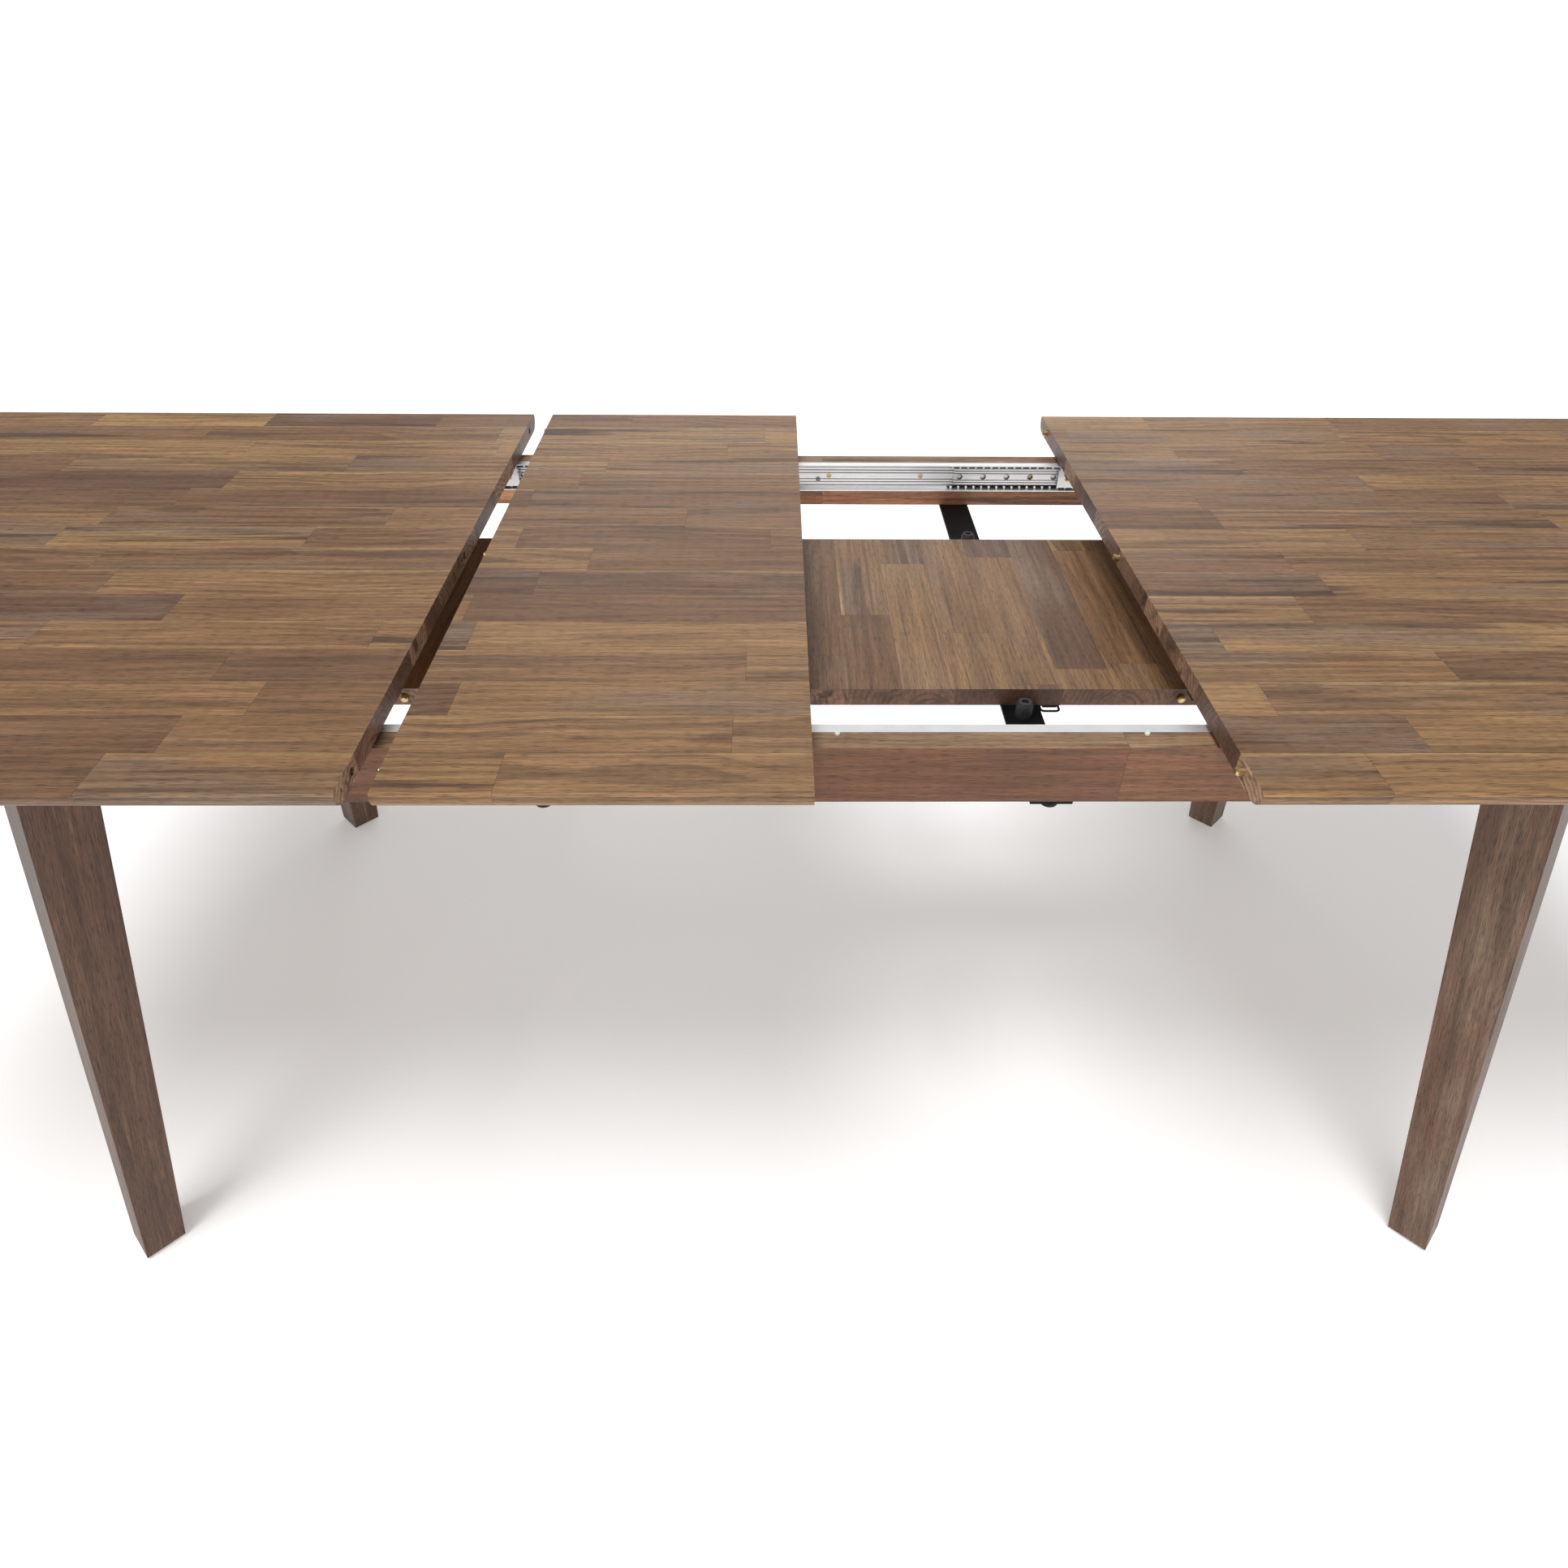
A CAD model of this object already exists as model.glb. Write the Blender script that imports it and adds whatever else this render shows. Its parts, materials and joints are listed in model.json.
"""Looks of the extendable dining table: materials, eased edges, studio and camera.

Every CAD piece keeps its shape and gets a node-based material. Lengths are in metres.
"""

import json
import math

import bpy
from mathutils import Matrix, Vector


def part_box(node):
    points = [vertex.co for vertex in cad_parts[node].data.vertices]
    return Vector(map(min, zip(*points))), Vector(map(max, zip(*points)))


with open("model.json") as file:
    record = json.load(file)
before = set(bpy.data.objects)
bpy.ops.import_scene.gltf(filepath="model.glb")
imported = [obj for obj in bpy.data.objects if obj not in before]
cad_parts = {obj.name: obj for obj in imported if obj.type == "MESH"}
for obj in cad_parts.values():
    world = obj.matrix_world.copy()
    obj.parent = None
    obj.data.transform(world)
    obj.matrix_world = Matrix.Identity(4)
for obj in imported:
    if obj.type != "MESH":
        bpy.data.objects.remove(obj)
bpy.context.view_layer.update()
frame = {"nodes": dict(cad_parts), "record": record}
nodes = frame["nodes"]

MM = 0.001
X = Vector((1, 0, 0))
Y = Vector((0, 1, 0))
Z = Vector((0, 0, 1))
WHITE = (1.0, 1.0, 1.0, 1.0)

# ---- sizes read from the frame ----

TOP_LOW, TOP_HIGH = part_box("right_top")
STORED_LOW, STORED_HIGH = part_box("leaf_two")
APRON_LOW, APRON_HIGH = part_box("front_apron")
CHANNEL_LOW, CHANNEL_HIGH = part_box("front_slide_channel")
SLIDE_HEIGHT = (CHANNEL_LOW.z + CHANNEL_HIGH.z) / 2
CAGE_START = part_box("right_back_cage")[0].x

# ---- width and mean length of the strips that each kind of piece is glued from ----

TOP_STRIP = ((TOP_HIGH.y - TOP_LOW.y) / 16, 0.34)
# one strip is higher than an apron or end rail, so these show no seam along them
RAIL_STRIP = (APRON_HIGH.z - APRON_LOW.z + 0.01, 0.42)
BLOCK_STRIP = (0.08, 0.30)
# a leg is two strips wide, and the strips are longer than it
LEG_STRIP = (0.034, 6.0)

# centre of a leg's top, from the middle of the table
LEG_TOP_X = 0.703
LEG_TOP_Y = 0.312
# half the diagonals of a leg's top and foot, added together
LEG_ENDS = 0.075


class Graph:
    """A material's node tree, with one short call for each kind of node."""

    def __init__(self, name):
        self.material = bpy.data.materials.new(name)
        self.material.use_nodes = True
        self.tree = self.material.node_tree
        self.tree.nodes.clear()
        self.output = self.add("ShaderNodeOutputMaterial")
        self.shader = self.add("ShaderNodeBsdfPrincipled")
        self.feed(self.output.inputs["Surface"], self.shader.outputs["BSDF"])

    def add(self, kind, **settings):
        node = self.tree.nodes.new(kind)
        for key, value in settings.items():
            setattr(node, key, value)
        return node

    def feed(self, socket, value):
        """Links value to socket, or sets it where it is a number, a colour or a vector."""
        if isinstance(value, bpy.types.NodeSocket):
            self.tree.links.new(value, socket)
        else:
            socket.default_value = value

    def set(self, **values):
        """Sets the shader's own sockets; an underscore in a name stands for a space."""
        for key, value in values.items():
            self.feed(self.shader.inputs[key.replace("_", " ")], value)

    def math(self, operation, *values):
        node = self.add("ShaderNodeMath", operation=operation)
        for socket, value in zip(node.inputs, values):
            self.feed(socket, value)
        return node.outputs[0]

    def plus(self, a, b):
        return self.math("ADD", a, b)

    def minus(self, a, b):
        return self.math("SUBTRACT", a, b)

    def times(self, a, b):
        return self.math("MULTIPLY", a, b)

    def size(self, value):
        """Value without its sign."""
        return self.math("ABSOLUTE", value)

    def distance(self, a, b):
        """Length of the line whose parts along two axes are a and b."""
        return self.math("SQRT", self.plus(self.times(a, a), self.times(b, b)))

    def line(self, value, at_zero, at_one):
        """Straight line through at_zero and at_one, where value is 0 and 1."""
        return self.math("MULTIPLY_ADD", value, at_one - at_zero, at_zero)

    def span(self, value, low, high, to_low=0.0, to_high=1.0):
        """Value from low..high carried smoothly to to_low..to_high, and held beyond them."""
        node = self.add("ShaderNodeMapRange", interpolation_type="SMOOTHSTEP")
        for socket, part in zip(node.inputs, (value, low, high, to_low, to_high)):
            self.feed(socket, part)
        return node.outputs[0]

    def dot(self, vector, axis):
        node = self.add("ShaderNodeVectorMath", operation="DOT_PRODUCT")
        self.feed(node.inputs[0], vector)
        self.feed(node.inputs[1], tuple(axis))
        return node.outputs["Value"]

    def vector(self, x, y, z):
        node = self.add("ShaderNodeCombineXYZ")
        for socket, value in zip(node.inputs, (x, y, z)):
            self.feed(socket, value)
        return node.outputs[0]

    def stretched(self, vector, factors):
        """Vector with each of its parts times its own factor."""
        node = self.add("ShaderNodeVectorMath", operation="MULTIPLY")
        self.feed(node.inputs[0], vector)
        self.feed(node.inputs[1], factors)
        return node.outputs[0]

    def place(self):
        """Point on the object, in metres in the object's own frame."""
        return self.add("ShaderNodeTexCoord").outputs["Object"]

    def normal(self):
        return self.add("ShaderNodeTexCoord").outputs["Normal"]

    def parts(self, colour):
        node = self.add("ShaderNodeSeparateColor")
        self.feed(node.inputs[0], colour)
        return node.outputs[0], node.outputs[1], node.outputs[2]

    def random(self, value):
        node = self.add("ShaderNodeTexWhiteNoise", noise_dimensions="1D")
        self.feed(node.inputs["W"], value)
        return node.outputs["Value"]

    def noise(self, vector, scale=1.0, detail=2.0, rough=0.5, distort=0.0):
        node = self.add("ShaderNodeTexNoise", noise_dimensions="3D")
        self.feed(node.inputs["Vector"], vector)
        self.feed(node.inputs["Scale"], scale)
        self.feed(node.inputs["Detail"], detail)
        self.feed(node.inputs["Roughness"], rough)
        self.feed(node.inputs["Distortion"], distort)
        return node.outputs[0]

    def cells(self, value, feature, spread):
        """Cells of random length along a line; spread is how uneven the lengths are."""
        node = self.add("ShaderNodeTexVoronoi", voronoi_dimensions="1D", feature=feature)
        self.feed(node.inputs["W"], value)
        self.feed(node.inputs["Scale"], 1.0)
        self.feed(node.inputs["Randomness"], spread)
        return node

    def ramp(self, value, stops):
        node = self.add("ShaderNodeValToRGB")
        elements = node.color_ramp.elements
        while len(elements) < len(stops):
            elements.new(0.5)
        for element, (place, colour) in zip(elements, stops):
            element.position = place
            element.color = (*colour, 1.0)
        self.feed(node.inputs[0], value)
        return node.outputs["Color"]

    def mix(self, share, a, b):
        """Colour a with that share of colour b."""
        node = self.add("ShaderNodeMix", data_type="RGBA", clamp_factor=True)
        self.feed(node.inputs[0], share)
        for socket, value in ((node.inputs[6], a), (node.inputs[7], b)):
            if not isinstance(value, bpy.types.NodeSocket):
                value = (*value, 1.0)
            self.feed(socket, value)
        return node.outputs[2]

    def scaled(self, colour, factor):
        """Colour times a factor that varies over the surface."""
        node = self.add("ShaderNodeVectorMath", operation="SCALE")
        self.feed(node.inputs[0], colour)
        self.feed(node.inputs["Scale"], factor)
        return node.outputs[0]

    def bump(self, height, depth):
        """Bump of that depth in metres where height goes from 0 to 1."""
        node = self.add("ShaderNodeBump")
        self.feed(node.inputs["Strength"], 1.0)
        self.feed(node.inputs["Distance"], depth)
        self.feed(node.inputs["Height"], height)
        self.feed(self.shader.inputs["Normal"], node.outputs[0])


# ---- wood: colours ----

TOP_TONES = [
    (0.00, (0.132, 0.068, 0.040)),
    (0.15, (0.190, 0.101, 0.052)),
    (0.40, (0.242, 0.131, 0.063)),
    (0.65, (0.272, 0.150, 0.069)),
    (0.88, (0.300, 0.170, 0.077)),
    (1.00, (0.360, 0.212, 0.095)),
]
RAIL_TONES = [
    (0.00, (0.130, 0.055, 0.030)),
    (0.50, (0.220, 0.100, 0.047)),
    (1.00, (0.300, 0.158, 0.074)),
]
LEG_TONES = [
    (0.00, (0.078, 0.040, 0.024)),
    (0.50, (0.110, 0.056, 0.034)),
    (1.00, (0.140, 0.076, 0.045)),
]
END_GRAIN_TONES = [
    (0.15, (0.100, 0.050, 0.034)),
    (0.50, (0.230, 0.124, 0.080)),
    (0.85, (0.460, 0.285, 0.175)),
]
LATE_WOOD = (0.078, 0.044, 0.028)
GOLD_STREAK = (0.400, 0.260, 0.112)
GREY_BROWN = (0.172, 0.118, 0.080)
APRON_EDGE = (0.270, 0.166, 0.092)

# ---- wood: strips and growth rings ----

LENGTH_SPREAD = 0.75
SIDE_SEAM = 0.35 * MM
END_SEAM = 0.5 * MM
RELIEF = 0.08 * MM
# how dark the finest dark lines are
FINE_LINES = 0.42
RING_WIDTH = 6.2 * MM
# how far the rings wave to either side
RING_WANDER = 28 * MM
RING_RIPPLE = 3 * MM
# the pith is at most this far aside from a strip's middle, and this far behind the face that
# the origin is on
PITH_ASIDE = 55 * MM
PITH_BELOW = (10 * MM, 60 * MM)

# ---- wood: noises, with spots per metre along and across the grain, detail and roughness ----

WANDER = (2.6, 7.0, 2.0, 0.5)
RIPPLE = (9.0, 60.0, 4.0, 0.6)
FIBRE = (15.0, 950.0, 3.0, 0.62)
GRAIN = (6.0, 150.0, 3.0, 0.6)
HAIR = (7.0, 460.0, 2.0, 0.55)
PORE = (70.0, 1700.0, 1.0, 0.5)
STREAK = (2.4, 44.0, 5.0, 0.60)
THREAD = (4.5, 210.0, 2.0, 0.5)
CLOUD = (4.0, 18.0, 2.0, 0.5)
# spots per metre of the two noises that are the same in every direction
SPECK = 900.0
RING_BREAKS = 120.0


def wood(name, tones, along, across, strip, origin, seed, sap=0.5, grey=1.0, edge=None):
    """Lacquered strips with their grain along one direction, cut from solid growth rings.

    along and across are directions at right angles, and origin is a point on the edge of a
    strip. strip is its width and mean length. seed picks the pattern, sap is how golden and
    grey how greyed the strips may be. The faces that look along across take the colour edge,
    where there is one.
    """
    g = Graph(name)
    strip_w, strip_l = strip
    along = Vector(along).normalized()
    across = Vector(across).normalized()
    deep = along.cross(across)
    point = g.place()
    start = Vector(origin)
    x = g.minus(g.dot(point, along), start.dot(along))
    y = g.minus(g.dot(point, across), start.dot(across))
    z = g.minus(g.dot(point, deep), start.dot(deep))

    # rows of strips, shifted at random along each other, and three random values per strip
    row_place = g.math("DIVIDE", y, strip_w)
    row = g.math("FLOOR", row_place)
    row_random = g.random(g.plus(row, seed + 0.37))
    run = g.plus(g.math("DIVIDE", x, strip_l), g.times(row, 17.0))
    run = g.plus(run, g.math("MULTIPLY_ADD", row_random, 9.0, seed * 31.0))
    tone, tilt, kind = g.parts(g.cells(run, "F1", LENGTH_SPREAD).outputs["Color"])
    end_place = g.cells(run, "DISTANCE_TO_EDGE", LENGTH_SPREAD).outputs["Distance"]
    end_gap = g.times(end_place, strip_l)
    in_row = g.minus(g.math("FRACT", row_place), 0.5)
    side = g.times(in_row, strip_w)
    side_gap = g.math("MULTIPLY_ADD", g.size(in_row), -strip_w, strip_w / 2)

    # each strip is cut from its own tree, so the noises are read at a place of its own
    own = g.math("MULTIPLY_ADD", tone, 41.0, g.times(kind, 23.0))
    own_point = g.vector(g.plus(x, own), g.plus(side, own), z)

    def drawn(noise, distort=0.0):
        per_x, per_side, detail, rough = noise
        fine_point = g.stretched(own_point, (per_x, per_side, per_side))
        return g.noise(fine_point, detail=detail, rough=rough, distort=distort)

    # growth rings round a pith that wanders beside the strip, darker towards each ring's end
    wander = g.line(drawn(WANDER), -RING_WANDER, RING_WANDER)
    ring_side = g.plus(g.minus(side, g.line(tilt, -PITH_ASIDE, PITH_ASIDE)), wander)
    ring_deep = g.plus(g.plus(z, g.line(kind, *PITH_BELOW)), g.times(wander, 0.5))
    ripple = g.line(drawn(RIPPLE), -RING_RIPPLE, RING_RIPPLE)
    radius = g.plus(g.distance(ring_side, ring_deep), ripple)
    ring_place = g.math("DIVIDE", radius, RING_WIDTH)
    in_ring = g.math("FRACT", ring_place)
    ring_random = g.random(g.math("FLOOR", ring_place))
    late = g.times(g.span(in_ring, 0.28, 0.86), g.span(in_ring, 1.0, 0.92))
    late = g.times(late, g.line(ring_random, 0.15, 1.0))
    ring_breaks = g.noise(own_point, scale=RING_BREAKS, detail=1.0)
    arcs = g.times(late, g.span(ring_breaks, 0.30, 0.60, 0.45, 1.0))

    fibre = drawn(FIBRE)
    grain = drawn(GRAIN)
    hair = drawn(HAIR)
    thread = drawn(THREAD)
    streak = drawn(STREAK, distort=0.25)
    cloud = drawn(CLOUD)
    pores = g.span(drawn(PORE), 0.52, 0.68)
    speck = g.noise(own_point, scale=SPECK, detail=2.0, rough=0.6)

    # how strongly each strip shows its rings, dark streaks and golden streaks
    figure = g.line(g.times(kind, kind), 0.26, 0.78)
    moody = g.line(g.times(tilt, tilt), 0.38, 1.0)
    golden = g.times(g.span(kind, 0.15, 0.85), sap)

    # ground colour: the strip's tone, greyed in clouds, and end grain on the sawn ends
    normal = g.normal()
    on_end = g.span(g.size(g.dot(normal, along)), 0.65, 0.95)
    colour = g.ramp(tone, tones)
    if edge:
        on_edge = g.span(g.size(g.dot(normal, across)), 0.6, 0.9, 0.0, 0.85)
        colour = g.mix(on_edge, colour, edge)
    greying = g.times(g.span(cloud, 0.42, 0.66), g.span(tilt, 0.35, 0.80, 0.1, 0.85))
    greying = g.times(greying, grey)
    colour = g.mix(greying, colour, GREY_BROWN)
    colour = g.mix(on_end, colour, g.ramp(kind, END_GRAIN_TONES))

    # dark lines of the grain, from broad to fine
    rings = g.math("MAXIMUM", g.times(late, figure), g.times(arcs, on_end))
    streaks = g.times(g.span(streak, 0.53, 0.64), moody)
    threads = g.times(g.span(thread, 0.60, 0.76), FINE_LINES)
    hairs = g.times(g.span(hair, 0.56, 0.70), FINE_LINES)
    for share in (rings, streaks, threads, hairs):
        colour = g.mix(share, colour, LATE_WOOD)

    # golden sapwood along one side of a strip, and as thin lines
    towards_side = g.math("MULTIPLY_ADD", wander, 8.0, in_row)
    gold_side = g.times(g.span(towards_side, 0.40, 0.50), golden)
    gold_line = g.times(g.span(thread, 0.38, 0.24), g.times(golden, 0.6))
    colour = g.mix(g.math("MAXIMUM", gold_side, gold_line), colour, GOLD_STREAK)

    # light and dark within the colour, and the glue seams
    long_shade = g.times(g.line(fibre, 0.36, 1.81), g.minus(1.0, on_end))
    end_shade = g.times(g.line(speck, 0.75, 1.25), on_end)
    shade = g.plus(long_shade, end_shade)
    shade = g.times(shade, g.line(grain, 0.38, 1.68))
    shade = g.times(shade, g.line(cloud, 0.67, 1.37))
    shade = g.times(shade, g.line(pores, 1.08, 0.53))
    seam = g.math("MINIMUM", g.span(side_gap, 0.0, SIDE_SEAM), g.span(end_gap, 0.0, END_SEAM))
    shade = g.times(shade, g.line(seam, 0.60, 1.0))

    g.set(
        Base_Color=g.scaled(colour, shade),
        Roughness=g.line(fibre, 0.33, 0.59),
        Specular_IOR_Level=0.26,
        Coat_Weight=0.05,
        Coat_Roughness=0.30,
    )
    relief = g.math("MULTIPLY_ADD", fibre, 0.5, g.times(seam, 0.5))
    g.bump(g.minus(relief, g.times(pores, 0.6)), RELIEF)
    return g.material


# ---- metals and plastics ----

# rolling lines of a metal: how many per metre along them and across them
ROLLED_LINES = (8.0, 2600.0)

# heights of the channel's grooves and of the sides of the cage's ribs, from the slide's middle
GROOVES = [height * MM for height in (-13, -8.5, -4.5, 4.5, 8.5, 13)]
RIB_SIDES = [height * MM for height in (-8.3, -4.7, 4.7, 8.3)]
# distances from a groove's middle at which its dirt starts to thin and ends
GROOVE_DIRT = (0.45 * MM, 0.75 * MM)

# holes along a ball cage: the first one, their pitch, radius and worn rim, and how far aside
# from a hole the middle of its rim is
HOLE_START = CAGE_START + 16 * MM
HOLE_PITCH = 33.4 * MM
HOLE_RADIUS = 3.5 * MM
HOLE_RIM = 1.1 * MM
HOLE_SHIFT = 0.5 * MM

# beyond this height from the slide's middle, a ball cage is black with grease
GREASE_FROM = 11.4 * MM
GREASE_BLEND = 0.5 * MM


def hole_wear(g, point, height):
    """Dark round each of a ball cage's holes."""
    run = g.math("DIVIDE", g.minus(g.size(g.dot(point, X)), HOLE_START), HOLE_PITCH)
    off_x = g.times(g.minus(g.math("FRACT", g.plus(run, 0.5)), 0.5), HOLE_PITCH)
    off_hole = g.distance(g.minus(off_x, HOLE_SHIFT), height)
    return g.span(off_hole, HOLE_RADIUS, HOLE_RADIUS + HOLE_RIM, 0.08, 1.0)


def grease(g, height):
    """Dark at the upper and lower side of a ball cage."""
    return g.span(g.size(height), GREASE_FROM, GREASE_FROM + GREASE_BLEND, 1.0, 0.05)


def rolled_metal(name, colour, along, rough, metallic=1.0, dirty_at=(), ball_cage=False):
    """Metal with fine lines along one direction, smudges and slight dulling.

    There is dirt at the heights dirty_at, and a ball cage has worn holes and grease as well.
    """
    g = Graph(name)
    point = g.place()
    per_length, per_width = ROLLED_LINES
    factors = tuple(per_length if abs(part) > 0.5 else per_width for part in along)
    lines = g.noise(g.stretched(point, factors), detail=3.0, rough=0.65)
    smudge = g.noise(point, scale=38.0, detail=4.0)
    tint = g.times(g.line(lines, 0.85, 1.15), g.line(smudge, 0.86, 1.12))
    height = g.minus(g.dot(point, Z), SLIDE_HEIGHT)
    for groove in dirty_at:
        off_groove = g.size(g.minus(height, groove))
        tint = g.times(tint, g.span(off_groove, *GROOVE_DIRT, 0.18, 1.0))
    if ball_cage:
        tint = g.times(tint, hole_wear(g, point, height))
        tint = g.times(tint, grease(g, height))
    line_rough = g.line(lines, rough - 0.09, rough + 0.09)
    g.set(
        Base_Color=g.scaled(colour, tint),
        Metallic=metallic,
        Roughness=g.plus(line_rough, g.line(smudge, -0.07, 0.07)),
    )
    g.bump(lines, 0.02 * MM)
    return g.material


def turned_metal(name, colour, rough, metallic=1.0):
    """Small turned or plated piece: fine tool marks and tarnish."""
    g = Graph(name)
    point = g.place()
    marks = g.noise(point, scale=1400.0, detail=3.0)
    tarnish = g.noise(point, scale=160.0, detail=4.0, rough=0.6)
    tarnished = tuple(part * 0.62 for part in colour)
    g.set(
        Base_Color=g.mix(g.span(tarnish, 0.40, 0.66), colour, tarnished),
        Metallic=metallic,
        Roughness=g.line(tarnish, rough - 0.10, rough + 0.12),
    )
    g.bump(marks, 0.015 * MM)
    return g.material


def powder_coat(name, colour):
    """Black powder coat on steel: orange-peel texture and rubbed patches."""
    g = Graph(name)
    point = g.place()
    peel = g.noise(point, scale=900.0, detail=2.0)
    rub = g.noise(point, scale=45.0, detail=4.0, rough=0.6)
    rubbed = tuple(part * 2.2 for part in colour)
    g.set(
        Base_Color=g.mix(g.span(rub, 0.42, 0.70, 0.0, 0.6), colour, rubbed),
        Roughness=g.line(rub, 0.42, 0.62),
        Specular_IOR_Level=0.16,
    )
    g.bump(peel, 0.05 * MM)
    return g.material


def moulded(name, colour, rough, mottling=0.12, subsurface=0.0):
    """Moulded rubber or nylon: faint mottling and a matt skin."""
    g = Graph(name)
    point = g.place()
    skin = g.noise(point, scale=1300.0, detail=3.0)
    mottle = g.noise(point, scale=120.0, detail=3.0)
    g.set(
        Base_Color=g.scaled(colour, g.line(mottle, 1.0 - mottling, 1.0 + mottling)),
        Roughness=g.line(skin, rough - 0.07, rough + 0.07),
        Subsurface_Weight=subsurface,
    )
    g.bump(skin, 0.04 * MM)
    return g.material


# ---- which piece gets which material ----

BOARDS = ("left_top", "right_top", "leaf_one", "leaf_two")
LEGS = ("leg_front_left", "leg_front_right", "leg_back_left", "leg_back_right")
FRAME_PIECES = ("front_apron", "back_apron", "left_end_rail", "right_end_rail", "corner_blocks")
BENT_SHEETS = ("left_storage_strap", "right_storage_strap", "left_brackets", "right_brackets")
# an edge is sharp where its faces turn by more than this
SHARP_DEG = 32
# in the photograph the stored leaf is darker and the back apron lighter than the rest
STORED_LEAF_SHADE = 0.86
BACK_APRON_SHADE = 1.9

slot_of = {entry["node"]: entry["material_slot"] for entry in frame["record"]["subparts"]}


def in_slot(slot):
    return [name for name in nodes if slot_of[name] == slot]


def dress(material, *names):
    for name in names:
        piece = nodes[name]
        piece.data.materials.clear()
        piece.data.materials.append(material)


def ease(width, *names, segments=2):
    """Rounds the sharp edges of these pieces a little."""
    for name in names:
        bevel = nodes[name].modifiers.new("eased_edges", "BEVEL")
        bevel.width = width
        bevel.segments = segments
        bevel.limit_method = "ANGLE"
        bevel.angle_limit = math.radians(SHARP_DEG)
        bevel.harden_normals = False


def toned(tones, factor):
    """The same wood, lighter or darker."""
    return [(place, tuple(part * factor for part in colour)) for place, colour in tones]


def dress_boards():
    """Boards at table height, with the grain along the table, and the stored leaf turned."""
    strip_edge = Vector((0, TOP_LOW.y, TOP_HIGH.z))
    for name, seed in (("left_top", 3.0), ("right_top", 11.0), ("leaf_one", 19.0)):
        dress(wood(name + "_wood", TOP_TONES, X, Y, TOP_STRIP, strip_edge, seed), name)
    strip_edge = Vector((STORED_LOW.x, 0, STORED_HIGH.z))
    tones = toned(TOP_TONES, STORED_LEAF_SHADE)
    dress(wood("leaf_two_wood", tones, Y, -X, TOP_STRIP, strip_edge, 27.0), "leaf_two")


def dress_rails():
    """Aprons, end rails and corner blocks."""
    # name, direction of the grain, tones, seed, colour of the upper and lower edge
    rails = (
        ("front_apron", X, RAIL_TONES, 5.0, APRON_EDGE),
        ("back_apron", X, toned(RAIL_TONES, BACK_APRON_SHADE), 13.0, APRON_EDGE),
        ("left_end_rail", Y, RAIL_TONES, 7.0, None),
        ("right_end_rail", Y, RAIL_TONES, 13.0, None),
    )
    for name, along, tones, seed, edge in rails:
        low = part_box(name)[0]
        rail_wood = wood(
            name + "_wood", tones, along, Z, RAIL_STRIP, low, seed, sap=0.25, grey=0.0, edge=edge
        )
        dress(rail_wood, name)
    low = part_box("corner_blocks")[0]
    block_wood = wood("corner_block_wood", RAIL_TONES, Z, X, BLOCK_STRIP, low, 9.0, sap=0.2)
    dress(block_wood, "corner_blocks")


def dress_legs():
    """Legs turned by 45 degrees, with the grain along their slant."""
    for count, name in enumerate(LEGS):
        low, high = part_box(name)
        side_x = math.copysign(1.0, low.x + high.x)
        side_y = math.copysign(1.0, low.y + high.y)
        spread = high.x - low.x - LEG_ENDS
        grain = Vector((side_x * spread, side_y * spread, low.z - high.z))
        face = Vector((side_x, -side_y, 0)).normalized()
        top = Vector((side_x * LEG_TOP_X, side_y * LEG_TOP_Y, high.z))
        strip_edge = top - face * LEG_STRIP[0]
        seed = 13.0 + 4 * count
        leg_wood = wood(
            name + "_wood", LEG_TONES, grain, face, LEG_STRIP, strip_edge, seed, sap=0.25
        )
        dress(leg_wood, name)


def dress_fittings():
    """Slides, brackets, screws, pins, locks, straps and small plastic pieces."""
    channels = [name for name in nodes if name.endswith("_slide_channel")]
    cages = [name for name in nodes if name.endswith("_cage")]
    runners = [name for name in nodes if name.endswith("_runner")]
    zinc_plated = [name for name in in_slot("zinc_screws") if name != "cage_stops"]
    channel_metal = rolled_metal(
        "channel_metal", (0.90, 0.90, 0.91), X, 0.46, metallic=0.78, dirty_at=GROOVES
    )
    cage_metal = rolled_metal(
        "cage_metal", (0.88, 0.88, 0.88), X, 0.46, metallic=0.80, dirty_at=RIB_SIDES, ball_cage=True
    )
    ball_steel = turned_metal("ball_steel", (0.97, 0.97, 0.97), 0.32, metallic=0.4)
    rubber = moulded("bumper_rubber", (0.024, 0.025, 0.027), 0.60, mottling=0.22)
    nylon = moulded("white_nylon", (0.84, 0.82, 0.78), 0.42, mottling=0.05, subsurface=0.15)
    dress(channel_metal, *channels)
    dress(cage_metal, *cages)
    dress(rolled_metal("runner_metal", (0.80, 0.81, 0.80), X, 0.42), *runners)
    dress(rolled_metal("bracket_steel", (0.68, 0.68, 0.67), Y, 0.36), *in_slot("bracket_steel"))
    dress(ball_steel, *in_slot("ball_steel"))
    dress(turned_metal("zinc", (0.60, 0.60, 0.58), 0.36), *zinc_plated)
    dress(turned_metal("stop_steel", (0.26, 0.26, 0.25), 0.40), "cage_stops")
    dress(turned_metal("brass", (0.66, 0.48, 0.24), 0.34), *in_slot("brass"))
    dress(powder_coat("black_coat", (0.003, 0.003, 0.0033)), *in_slot("black_steel"))
    dress(moulded("black_glide", (0.028, 0.028, 0.028), 0.55), *in_slot("black_plastic"))
    dress(rubber, *in_slot("rubber"))
    dress(nylon, *in_slot("white_nylon"))


dress_boards()
dress_rails()
dress_legs()
dress_fittings()

ease(0.5 * MM, *BOARDS)
ease(1.6 * MM, *LEGS, segments=3)
ease(1.2 * MM, *FRAME_PIECES)
ease(0.3 * MM, *BENT_SHEETS)
ease(0.2 * MM, *in_slot("slide_metal"))

# ---- studio ----


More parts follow.
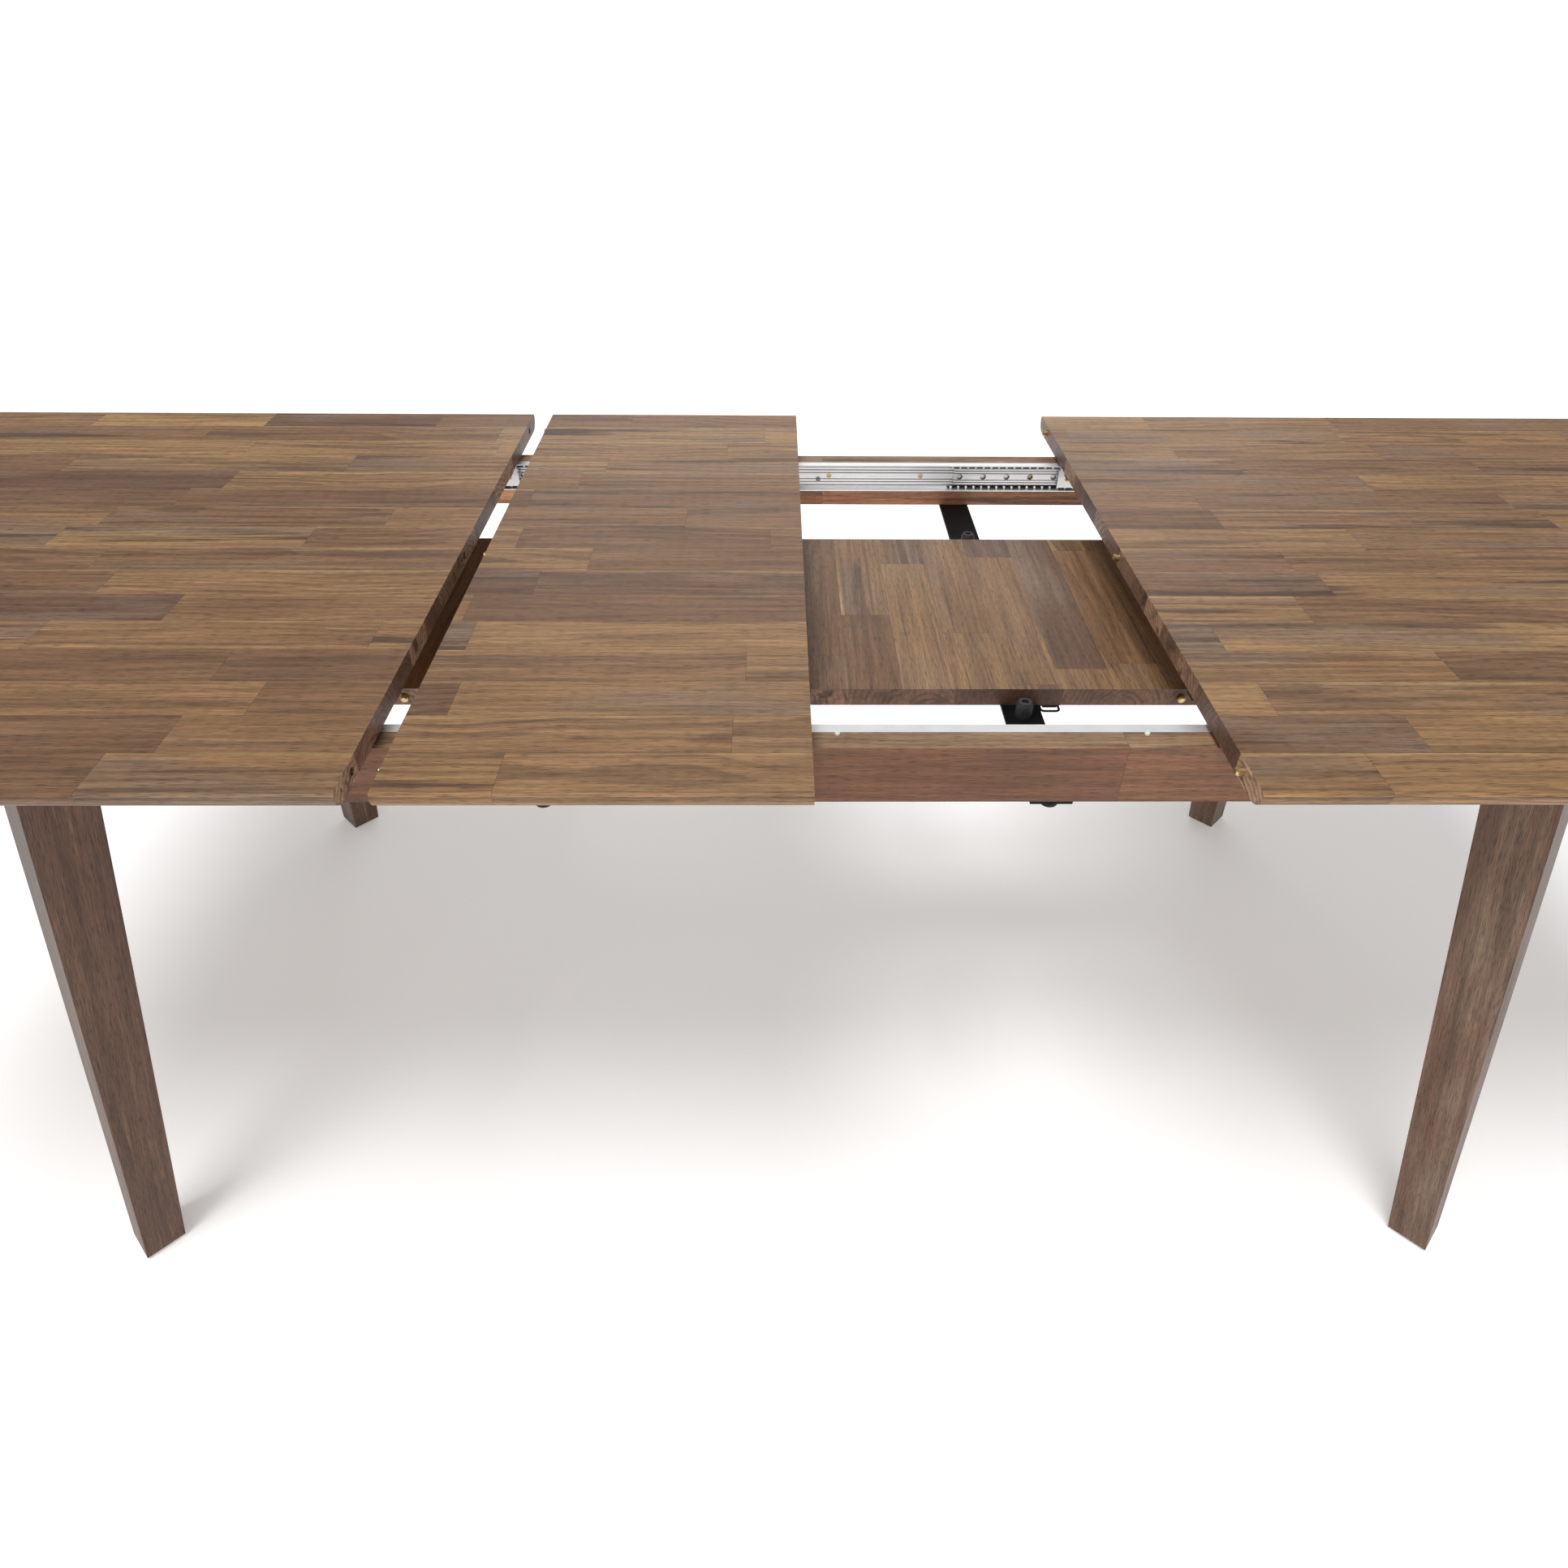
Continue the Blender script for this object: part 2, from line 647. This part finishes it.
def area_light(name, place, target, size, power):
    data = bpy.data.lights.new(name, "AREA")
    data.shape = "RECTANGLE"
    data.size, data.size_y = size
    data.energy = power
    light = bpy.data.objects.new(name, data)
    light.location = place
    light.rotation_euler = (Vector(target) - Vector(place)).to_track_quat("-Z", "Y").to_euler()
    bpy.context.scene.collection.objects.link(light)


def sun(name, towards, strength, spread_deg):
    """Light from that direction, as soft as a softbox of that angle."""
    data = bpy.data.lights.new(name, "SUN")
    data.energy = strength
    data.angle = math.radians(spread_deg)
    light = bpy.data.objects.new(name, data)
    light.rotation_euler = Vector(towards).to_track_quat("Z", "Y").to_euler()
    bpy.context.scene.collection.objects.link(light)


def floor(reach):
    """Pale floor, open from below, so that the underside of the table can be looked at."""
    mesh = bpy.data.meshes.new("floor")
    corners = [(-reach, -reach, 0), (reach, -reach, 0), (reach, reach, 0), (-reach, reach, 0)]
    mesh.from_pydata(corners, [], [(0, 1, 2, 3)])
    plane = bpy.data.objects.new("floor", mesh)
    bpy.context.scene.collection.objects.link(plane)
    g = Graph("pale_floor")
    g.set(Base_Color=(0.93, 0.93, 0.925, 1.0), Roughness=0.85, Specular_IOR_Level=0.2)
    g.set(Emission_Color=WHITE, Emission_Strength=0.25)
    clear = g.add("ShaderNodeBsdfTransparent")
    sides = g.add("ShaderNodeMixShader")
    g.feed(sides.inputs[0], g.add("ShaderNodeNewGeometry").outputs["Backfacing"])
    g.feed(sides.inputs[1], g.shader.outputs["BSDF"])
    g.feed(sides.inputs[2], clear.outputs[0])
    g.feed(g.output.inputs["Surface"], sides.outputs[0])
    mesh.materials.append(g.material)


def surroundings(strength, backdrop_strength):
    """Even white light from all round; the camera sees a white backdrop in its place."""
    world = bpy.data.worlds.new("studio")
    world.use_nodes = True
    tree = world.node_tree
    soft = tree.nodes["Background"]
    soft.inputs["Color"].default_value = WHITE
    soft.inputs["Strength"].default_value = strength
    backdrop = tree.nodes.new("ShaderNodeBackground")
    backdrop.inputs["Color"].default_value = WHITE
    backdrop.inputs["Strength"].default_value = backdrop_strength
    seen = tree.nodes.new("ShaderNodeMixShader")
    rays = tree.nodes.new("ShaderNodeLightPath")
    tree.links.new(rays.outputs["Is Camera Ray"], seen.inputs[0])
    tree.links.new(soft.outputs[0], seen.inputs[1])
    tree.links.new(backdrop.outputs[0], seen.inputs[2])
    tree.links.new(seen.outputs[0], tree.nodes["World Output"].inputs["Surface"])
    bpy.context.scene.world = world


floor(reach=90.0)
sun("top_sun", (-0.22, -0.24, 1.0), 2.14, 30)
area_light("back_light", (0.4, 3.8, 2.3), (0, 0, 0.75), (4.0, 1.6), 28)
area_light("front_fill", (-0.2, -4.0, 1.3), (0, 0, 0.6), (4.0, 2.0), 42)
surroundings(strength=0.30, backdrop_strength=1.0)
bpy.context.scene.view_settings.view_transform = "Standard"

# ---- camera ----

CAMERA_PLACE = Vector((-0.0216, -1.1048, 1.2771))
PITCH = math.radians(38.24)
YAW = math.radians(0.96)
ROLL = math.radians(0.57)
FOCAL_MM = 23.91
SENSOR_MM = 36.0
SHIFT = -0.0025
FAR_END = 200.0


def camera():
    """Camera at the photograph's place, looking down at the opening of the table."""
    level = Vector((math.sin(YAW), math.cos(YAW), 0))
    view = level * math.cos(PITCH) - Z * math.sin(PITCH)
    right = Vector((math.cos(YAW), -math.sin(YAW), 0))
    up = right.cross(view)
    rolled_right = right * math.cos(ROLL) + up * math.sin(ROLL)
    rolled_up = up * math.cos(ROLL) - right * math.sin(ROLL)
    data = bpy.data.cameras.new("camera")
    data.sensor_width = SENSOR_MM
    data.lens = FOCAL_MM
    data.clip_end = FAR_END
    data.shift_x = SHIFT
    eye = bpy.data.objects.new("camera", data)
    turn = Matrix((rolled_right, rolled_up, -view)).transposed().to_4x4()
    eye.matrix_world = Matrix.Translation(CAMERA_PLACE) @ turn
    bpy.context.scene.collection.objects.link(eye)
    bpy.context.scene.camera = eye


camera()


def corners(box):
    return [list(corner) for corner in box]
